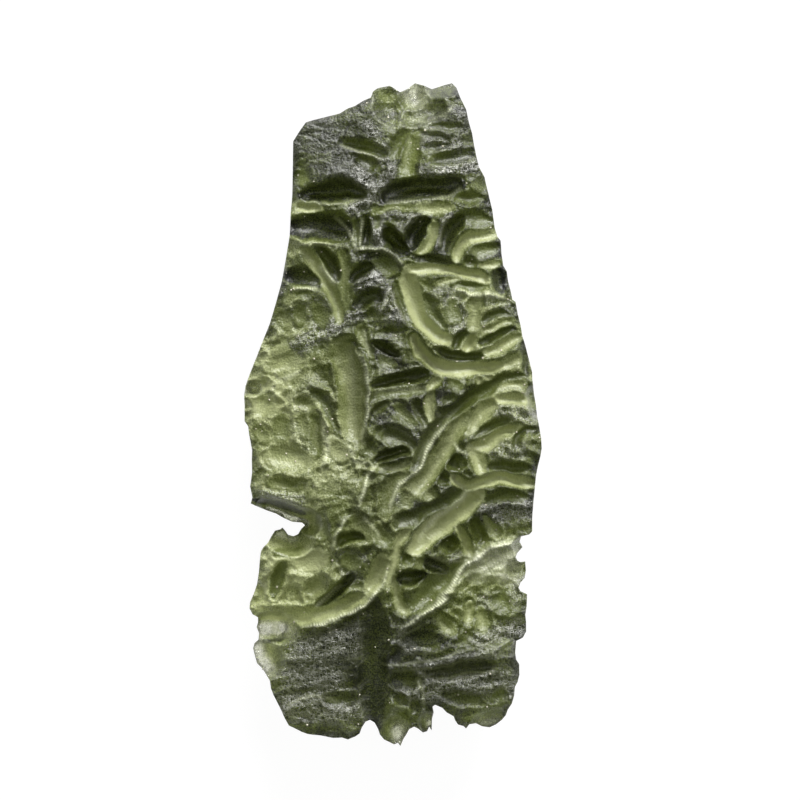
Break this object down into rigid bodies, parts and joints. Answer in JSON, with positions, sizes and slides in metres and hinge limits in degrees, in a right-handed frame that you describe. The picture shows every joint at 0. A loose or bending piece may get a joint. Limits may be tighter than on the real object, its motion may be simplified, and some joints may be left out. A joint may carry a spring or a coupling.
{
  "type": "moldavite",
  "caption": "Natural piece of see-through green tektite glass, a long flat stone with a deeply furrowed face and a ragged, chipped edge.",
  "frame": {"origin": "under the middle of the stone's bounding box, on the plane it rests on", "axes": "+Z out of the sculpted face, +Y along the stone towards its narrow top end, +X to the right when seen from above with the top end up"},
  "size_m": [0.0148, 0.0332, 0.0054],
  "materials": {
    "moldavite_glass": "etched natural glass, see-through green, glossy in the furrows and frosted on the worn ledges"
  },
  "bodies": {
    "root": {"moldavite": "moldavite_glass"}
  },
  "joints": []
}
